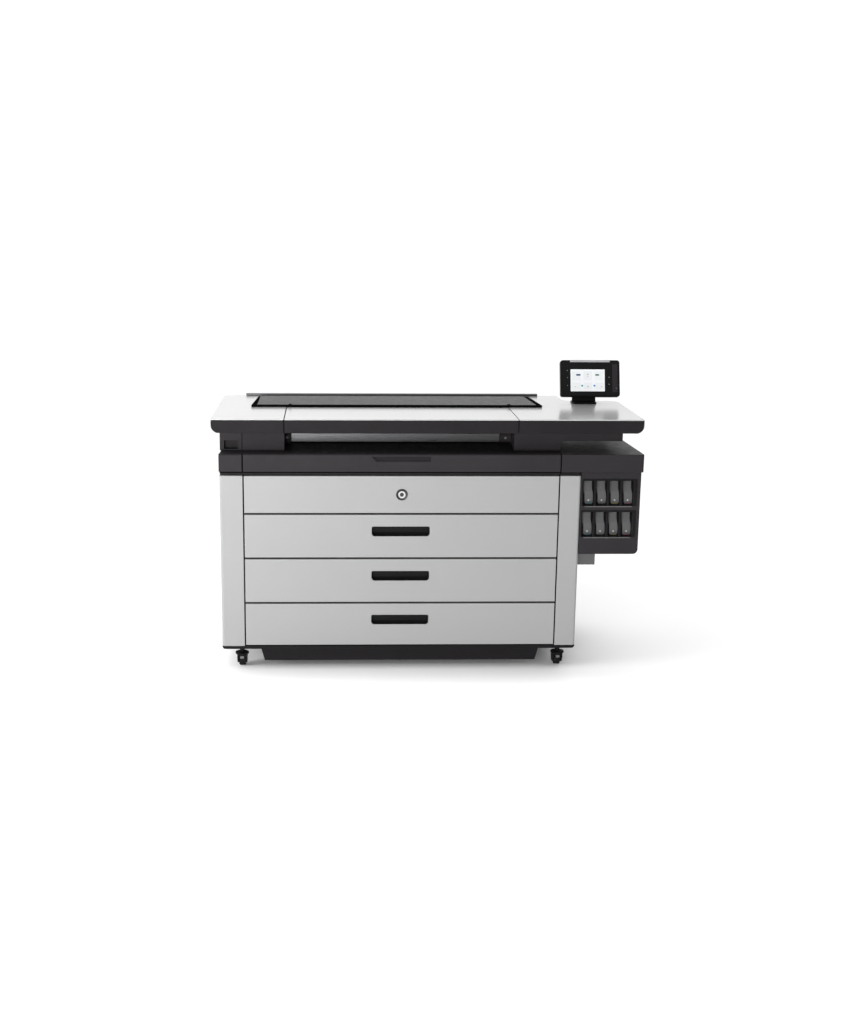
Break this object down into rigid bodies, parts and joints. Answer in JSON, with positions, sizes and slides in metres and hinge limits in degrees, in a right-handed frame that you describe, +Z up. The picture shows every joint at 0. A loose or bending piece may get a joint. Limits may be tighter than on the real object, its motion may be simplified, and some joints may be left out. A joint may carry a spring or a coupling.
{
  "type": "large format plotter",
  "caption": "Wide-format roll printer on casters: a steel cabinet with paper drawers, a slotted print engine with hinged hood, lid and flap, a side ink cabinet and a tilting touch screen.",
  "frame": {"origin": "on the floor, under the centre of the machine's bounding box", "axes": "+X towards the ink cabinet, +Y towards the back, +Z up; paper leaves towards -Y"},
  "size_m": [1.9702, 0.82, 1.4082],
  "materials": {
    "light_paint": "fine satin powder coat, warm light grey",
    "top_white": "glossy white moulding",
    "charcoal": "finely textured charcoal moulding",
    "black_steel": "black powder coat",
    "black_plastic": "black moulding",
    "lid_grey": "satin dark grey moulding with black edges",
    "bar_steel": "brushed, darkened steel",
    "rail_aluminium": "satin extrusion",
    "zinc": "zinc-plated sheet",
    "rubber": "moulded rubber",
    "wheel_black": "hard polyurethane and nylon",
    "spindle_blue": "blue-grey moulding",
    "paper": "white coated paper",
    "cartridge_grey": "dark grey moulding with a colour mark",
    "screen_glass": "black glossy touch screen"
  },
  "bodies": {
    "cabinet": {"base_plate": "black_steel", "left_side_panel": "light_paint", "right_side_panel": "light_paint", "back_cover": "light_paint", "upper_front_panel": "light_paint", "lower_tray": "black_steel", "platen_deck": "charcoal", "output_bar": "bar_steel", "print_bar": "black_plastic", "head_housing_left": "charcoal", "head_housing_right": "charcoal", "top_cover_left": "top_white", "top_cover_right": "top_white", "rear_rail": "rail_aluminium", "ink_head": "charcoal", "ink_housing": "charcoal", "ink_bracket": "bar_steel", "panel_foot": "black_plastic"},
    "drawer_1": {"drawer_front_1": "light_paint", "drawer_tray_1": "zinc"},
    "spindle_1a": {"spindle_1a": "spindle_blue", "media_roll_1a": "paper"},
    "spindle_1b": {"spindle_1b": "spindle_blue", "media_roll_1b": "paper"},
    "drawer_2": {"drawer_front_2": "light_paint", "drawer_tray_2": "zinc"},
    "spindle_2a": {"spindle_2a": "spindle_blue", "media_roll_2a": "paper"},
    "spindle_2b": {"spindle_2b": "spindle_blue", "media_roll_2b": "paper"},
    "drawer_3": {"drawer_front_3": "light_paint", "drawer_tray_3": "zinc"},
    "spindle_3a": {"spindle_3a": "spindle_blue", "media_roll_3a": "paper"},
    "spindle_3b": {"spindle_3b": "spindle_blue", "media_roll_3b": "paper"},
    "flap": {"access_flap": "charcoal"},
    "roller": {"output_roller": "rubber"},
    "hood": {"hood_panel": "top_white", "hood_apron": "charcoal"},
    "lid": {"rear_lid": "lid_grey"},
    "cartridge_upper_cyan": {"ink_cartridge_upper_cyan": "cartridge_grey"},
    "cartridge_upper_black": {"ink_cartridge_upper_black": "cartridge_grey"},
    "cartridge_upper_yellow": {"ink_cartridge_upper_yellow": "cartridge_grey"},
    "cartridge_upper_magenta": {"ink_cartridge_upper_magenta": "cartridge_grey"},
    "cartridge_lower_cyan": {"ink_cartridge_lower_cyan": "cartridge_grey"},
    "cartridge_lower_black": {"ink_cartridge_lower_black": "cartridge_grey"},
    "cartridge_lower_yellow": {"ink_cartridge_lower_yellow": "cartridge_grey"},
    "cartridge_lower_magenta": {"ink_cartridge_lower_magenta": "cartridge_grey"},
    "panel_swivel": {"panel_neck": "black_plastic"},
    "panel_head": {"panel_housing": "black_plastic", "panel_glass": "screen_glass"},
    "caster_front_left": {"caster_fork_front_left": "black_plastic"},
    "wheel_front_left": {"caster_wheel_front_left": "wheel_black"},
    "caster_front_right": {"caster_fork_front_right": "black_plastic"},
    "wheel_front_right": {"caster_wheel_front_right": "wheel_black"},
    "caster_rear_left": {"caster_fork_rear_left": "black_plastic"},
    "wheel_rear_left": {"caster_wheel_rear_left": "wheel_black"},
    "caster_rear_right": {"caster_fork_rear_right": "black_plastic"},
    "wheel_rear_right": {"caster_wheel_rear_right": "wheel_black"}
  },
  "joints": [
    {"name": "drawer_1_slide", "type": "slide", "parent": "cabinet", "child": "drawer_1", "axis": [0, -1, 0], "range_m": [0, 0.45]},
    {"name": "spindle_1a_spin", "type": "hinge", "parent": "drawer_1", "child": "spindle_1a", "pos_m": [-0.124, -0.235, 0.6393], "axis": [1, 0, 0], "continuous": true},
    {"name": "spindle_1b_spin", "type": "hinge", "parent": "drawer_1", "child": "spindle_1b", "pos_m": [-0.124, 0.035, 0.6393], "axis": [1, 0, 0], "continuous": true},
    {"name": "drawer_2_slide", "type": "slide", "parent": "cabinet", "child": "drawer_2", "axis": [0, -1, 0], "range_m": [0, 0.45]},
    {"name": "spindle_2a_spin", "type": "hinge", "parent": "drawer_2", "child": "spindle_2a", "pos_m": [-0.124, -0.235, 0.4257], "axis": [1, 0, 0], "continuous": true},
    {"name": "spindle_2b_spin", "type": "hinge", "parent": "drawer_2", "child": "spindle_2b", "pos_m": [-0.124, 0.035, 0.4257], "axis": [1, 0, 0], "continuous": true},
    {"name": "drawer_3_slide", "type": "slide", "parent": "cabinet", "child": "drawer_3", "axis": [0, -1, 0], "range_m": [0, 0.45]},
    {"name": "spindle_3a_spin", "type": "hinge", "parent": "drawer_3", "child": "spindle_3a", "pos_m": [-0.124, -0.235, 0.2173], "axis": [1, 0, 0], "continuous": true},
    {"name": "spindle_3b_spin", "type": "hinge", "parent": "drawer_3", "child": "spindle_3b", "pos_m": [-0.124, 0.035, 0.2173], "axis": [1, 0, 0], "continuous": true},
    {"name": "flap_hinge", "type": "hinge", "parent": "cabinet", "child": "flap", "pos_m": [-0.11575, -0.397, 0.957], "axis": [1, 0, 0], "range_deg": [0, 85]},
    {"name": "roller_spin", "type": "hinge", "parent": "cabinet", "child": "roller", "pos_m": [-0.138, -0.112, 1.067], "axis": [1, 0, 0], "continuous": true},
    {"name": "hood_hinge", "type": "hinge", "parent": "cabinet", "child": "hood", "pos_m": [-0.121, -0.042, 1.195], "axis": [-1, 0, 0], "range_deg": [0, 70]},
    {"name": "lid_hinge", "type": "hinge", "parent": "cabinet", "child": "lid", "pos_m": [-0.1215, 0.275, 1.1955], "axis": [-1, 0, 0], "range_deg": [0, 75]},
    {"name": "cartridge_upper_cyan_slide", "type": "slide", "parent": "cabinet", "child": "cartridge_upper_cyan", "axis": [0, -1, 0], "range_m": [0, 0.25]},
    {"name": "cartridge_upper_black_slide", "type": "slide", "parent": "cabinet", "child": "cartridge_upper_black", "axis": [0, -1, 0], "range_m": [0, 0.25]},
    {"name": "cartridge_upper_yellow_slide", "type": "slide", "parent": "cabinet", "child": "cartridge_upper_yellow", "axis": [0, -1, 0], "range_m": [0, 0.25]},
    {"name": "cartridge_upper_magenta_slide", "type": "slide", "parent": "cabinet", "child": "cartridge_upper_magenta", "axis": [0, -1, 0], "range_m": [0, 0.25]},
    {"name": "cartridge_lower_cyan_slide", "type": "slide", "parent": "cabinet", "child": "cartridge_lower_cyan", "axis": [0, -1, 0], "range_m": [0, 0.25]},
    {"name": "cartridge_lower_black_slide", "type": "slide", "parent": "cabinet", "child": "cartridge_lower_black", "axis": [0, -1, 0], "range_m": [0, 0.25]},
    {"name": "cartridge_lower_yellow_slide", "type": "slide", "parent": "cabinet", "child": "cartridge_lower_yellow", "axis": [0, -1, 0], "range_m": [0, 0.25]},
    {"name": "cartridge_lower_magenta_slide", "type": "slide", "parent": "cabinet", "child": "cartridge_lower_magenta", "axis": [0, -1, 0], "range_m": [0, 0.25]},
    {"name": "panel_swivel", "type": "hinge", "parent": "cabinet", "child": "panel_swivel", "pos_m": [0.799, 0.13, 1.2033], "axis": [0, 0, 1], "range_deg": [-60, 60]},
    {"name": "panel_tilt", "type": "hinge", "parent": "panel_swivel", "child": "panel_head", "pos_m": [0.799, 0.13, 1.275], "axis": [-1, 0, 0], "range_deg": [-17, 20]},
    {"name": "caster_front_left_swivel", "type": "hinge", "parent": "cabinet", "child": "caster_front_left", "pos_m": [-0.86, -0.32, 0.07], "axis": [0, 0, 1], "continuous": true},
    {"name": "wheel_front_left_spin", "type": "hinge", "parent": "caster_front_left", "child": "wheel_front_left", "pos_m": [-0.86, -0.302, 0.025], "axis": [1, 0, 0], "continuous": true},
    {"name": "caster_front_right_swivel", "type": "hinge", "parent": "cabinet", "child": "caster_front_right", "pos_m": [0.637, -0.32, 0.07], "axis": [0, 0, 1], "continuous": true},
    {"name": "wheel_front_right_spin", "type": "hinge", "parent": "caster_front_right", "child": "wheel_front_right", "pos_m": [0.637, -0.302, 0.025], "axis": [1, 0, 0], "continuous": true},
    {"name": "caster_rear_left_swivel", "type": "hinge", "parent": "cabinet", "child": "caster_rear_left", "pos_m": [-0.86, 0.32, 0.07], "axis": [0, 0, 1], "continuous": true},
    {"name": "wheel_rear_left_spin", "type": "hinge", "parent": "caster_rear_left", "child": "wheel_rear_left", "pos_m": [-0.86, 0.302, 0.025], "axis": [1, 0, 0], "continuous": true},
    {"name": "caster_rear_right_swivel", "type": "hinge", "parent": "cabinet", "child": "caster_rear_right", "pos_m": [0.637, 0.32, 0.07], "axis": [0, 0, 1], "continuous": true},
    {"name": "wheel_rear_right_spin", "type": "hinge", "parent": "caster_rear_right", "child": "wheel_rear_right", "pos_m": [0.637, 0.302, 0.025], "axis": [1, 0, 0], "continuous": true}
  ]
}
